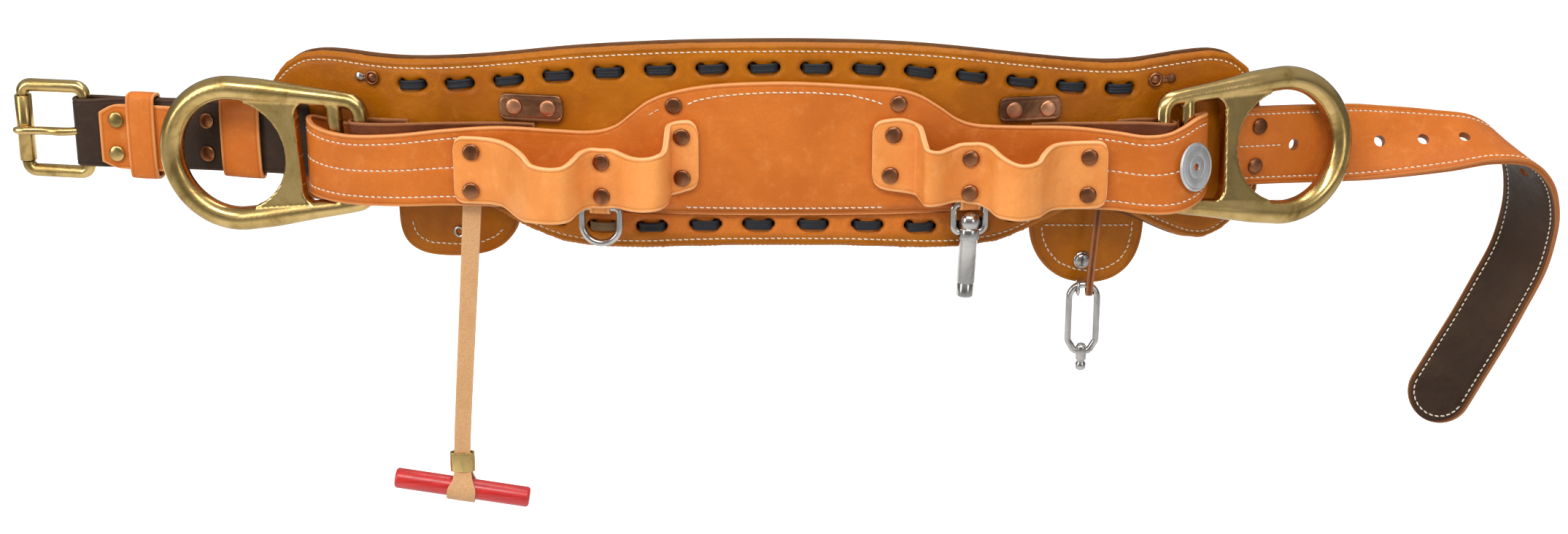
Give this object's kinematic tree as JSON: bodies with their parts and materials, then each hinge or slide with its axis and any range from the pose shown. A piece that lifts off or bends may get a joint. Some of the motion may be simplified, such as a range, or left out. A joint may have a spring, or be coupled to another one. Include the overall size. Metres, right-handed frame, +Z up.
{
  "type": "lineman belt",
  "caption": "Leather lineman's body belt with a laced pad, a D-ring saddle, wavy riveted tool loops, a T-handle strap, a roller buckle and a punched tongue strap.",
  "frame": {"origin": "middle of the pad's back face, where the belt sits against the wearer's back", "axes": "+X along the belt to the tongue end, +Y towards the wearer, +Z up"},
  "size_m": [0.9805, 0.1898, 0.2988],
  "materials": {
    "pad_leather": "oiled mustard-tan leather, worn",
    "lining_leather": "matte brown leather",
    "saddle_leather": "smooth orange-brown leather",
    "loop_leather": "smooth tan leather",
    "brown_leather": "satin brown leather",
    "dark_leather": "satin dark brown leather",
    "lace": "near-black lace",
    "ring_brass": "aged brass, lightly scratched",
    "copper": "dark worn copper",
    "steel": "worn nickel plate",
    "webbing": "coarse tan strap",
    "red_wood": "red paint, slightly worn"
  },
  "bodies": {
    "belt": {"pad_front": "pad_leather", "pad_back": "lining_leather", "lace_top": "lace", "lace_bottom": "lace", "saddle": "saddle_leather", "inner_strap_left": "brown_leather", "inner_strap_right": "brown_leather", "d_ring_left": "ring_brass", "d_ring_right": "ring_brass", "tool_loop_left": "loop_leather", "rivet_loop_left_outer_top": "copper", "rivet_loop_left_outer_bottom": "copper", "rivet_loop_left_middle_top": "copper", "rivet_loop_left_middle_bottom": "copper", "rivet_loop_left_inner_top": "copper", "rivet_loop_left_inner_bottom": "copper", "tool_loop_right": "loop_leather", "rivet_loop_right_outer_top": "copper", "rivet_loop_right_outer_bottom": "copper", "rivet_loop_right_middle_top": "copper", "rivet_loop_right_middle_bottom": "copper", "rivet_loop_right_inner_top": "copper", "rivet_loop_right_inner_bottom": "copper", "rivet_saddle_left": "copper", "rivet_saddle_right": "copper", "clip_left": "copper", "clip_right": "copper", "flap_left": "pad_leather", "flap_right": "pad_leather", "snap_left": "steel", "snap_right": "steel", "corner_stud_left": "copper", "corner_stud_right": "copper", "disc": "steel", "ring_tab_left": "loop_leather", "ring_tab_right": "loop_leather", "t_strap": "webbing", "t_ferrule": "ring_brass", "t_handle": "red_wood", "link": "steel", "thong": "brown_leather", "link_ring": "steel", "buckle_strap": "dark_leather", "billet_patch": "saddle_leather", "keeper_outer": "saddle_leather", "keeper_inner": "saddle_leather", "rivet_patch_top": "ring_brass", "rivet_patch_bottom": "ring_brass", "rivet_strap_top": "copper", "rivet_strap_bottom": "copper", "tongue_strap": "saddle_leather", "rivet_tongue_top": "copper", "rivet_tongue_bottom": "copper"},
    "buckle": {"buckle_frame": "ring_brass"},
    "prong": {"buckle_prong": "ring_brass"},
    "roller": {"buckle_roller": "ring_brass"},
    "ring_left": {"small_ring_left": "steel"},
    "ring_right": {"small_ring_right": "steel", "snap_body": "steel"}
  },
  "joints": [
    {"name": "buckle_swing", "type": "hinge", "parent": "belt", "child": "buckle", "pos_m": [-0.4356, 0.083, 0.0044], "axis": [0, 0, 1], "range_deg": [-30, 30]},
    {"name": "prong_swing", "type": "hinge", "parent": "buckle", "child": "prong", "pos_m": [-0.4356, 0.083, 0.0044], "axis": [0, 0, 1], "range_deg": [0, 60]},
    {"name": "roller_spin", "type": "hinge", "parent": "buckle", "child": "roller", "pos_m": [-0.47559, 0.08999, 0.0044], "axis": [0, 0, 1], "continuous": true},
    {"name": "ring_left_swing", "type": "hinge", "parent": "belt", "child": "ring_left", "pos_m": [-0.10866, -0.01007, -0.0184], "axis": [-0.9899, 0.1415, 0], "range_deg": [-12, 75]},
    {"name": "ring_right_swing", "type": "hinge", "parent": "belt", "child": "ring_right", "pos_m": [0.10974, -0.01113, -0.0158], "axis": [-0.9898, -0.1427, 0], "range_deg": [-2, 60]}
  ]
}
